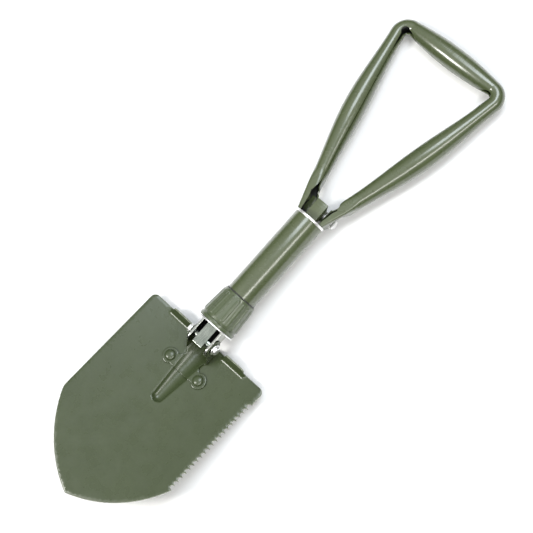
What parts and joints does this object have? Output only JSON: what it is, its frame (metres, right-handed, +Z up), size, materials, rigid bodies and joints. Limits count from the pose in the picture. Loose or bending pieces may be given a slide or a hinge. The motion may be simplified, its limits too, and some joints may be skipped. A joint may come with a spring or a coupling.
{
  "type": "folding camp shovel",
  "caption": "Folding camp shovel with a pointed, saw-edged dished blade on a hinge, a screw locking collar, a short tube shaft and a folding triangular handle.",
  "frame": {"origin": "centre of the bounding box in X and Y, at its lowest point: the shovel lies on its back, unfolded", "axes": "+Y along the shaft from the blade's point to the hand grip, +Z up out of the blade's digging face, +X towards the saw teeth"},
  "size_m": [0.155, 0.5846, 0.0485],
  "materials": {
    "blade_paint": "olive green satin paint on pressed steel",
    "handle_paint": "olive green gloss paint on rolled steel tube",
    "shaft_paint": "olive green gloss paint on steel tube",
    "collar_paint": "olive green satin paint on a ribbed nut",
    "rivet_paint": "olive green paint over domed rivets",
    "zinc": "bright zinc plate",
    "bright_ring": "polished plate",
    "bush_brass": "plain",
    "seal_rubber": "matt"
  },
  "bodies": {
    "shaft": {"shaft_tube": "shaft_paint", "fork": "zinc", "fork_spacer": "zinc", "fork_pins": "zinc", "locking_leaf": "zinc", "threaded_sleeve": "zinc", "shaft_end_ring": "bright_ring", "handle_yoke": "shaft_paint", "yoke_rivet": "zinc", "handle_spring": "shaft_paint", "handle_pivot_pin": "zinc"},
    "blade": {"blade": "blade_paint", "blade_bracket": "blade_paint", "bracket_rivets": "rivet_paint", "blade_pivot_pin": "zinc", "blade_pivot_washers": "zinc"},
    "thrust": {"thrust_ring": "bright_ring"},
    "collar": {"locking_collar": "collar_paint", "collar_seal": "seal_rubber"},
    "handle": {"handle_frame": "handle_paint", "handle_bushes": "bush_brass", "handle_pivot_washers": "zinc", "pivot_spacers": "zinc"}
  },
  "joints": [
    {"name": "blade_fold", "type": "hinge", "parent": "shaft", "child": "blade", "pos_m": [0, -0.09129, 0.02753], "axis": [-1, 0, 0], "range_deg": [0, 165]},
    {"name": "handle_fold", "type": "hinge", "parent": "shaft", "child": "handle", "pos_m": [0, 0.07821, 0.01703], "axis": [-1, 0, 0], "range_deg": [0, 170]},
    {"name": "collar_slide", "type": "slide", "parent": "shaft", "child": "thrust", "axis": [0, -1, 0], "range_m": [0, 0.00451]},
    {"name": "collar_spin", "type": "hinge", "parent": "thrust", "child": "collar", "pos_m": [0, -0.07279, 0.02753], "axis": [0, -1, 0], "range_deg": [0, 540]}
  ],
  "couplings": [
    {"joint": "collar_slide", "follows": "collar_spin", "m_per_rad": 0.00047746}
  ]
}
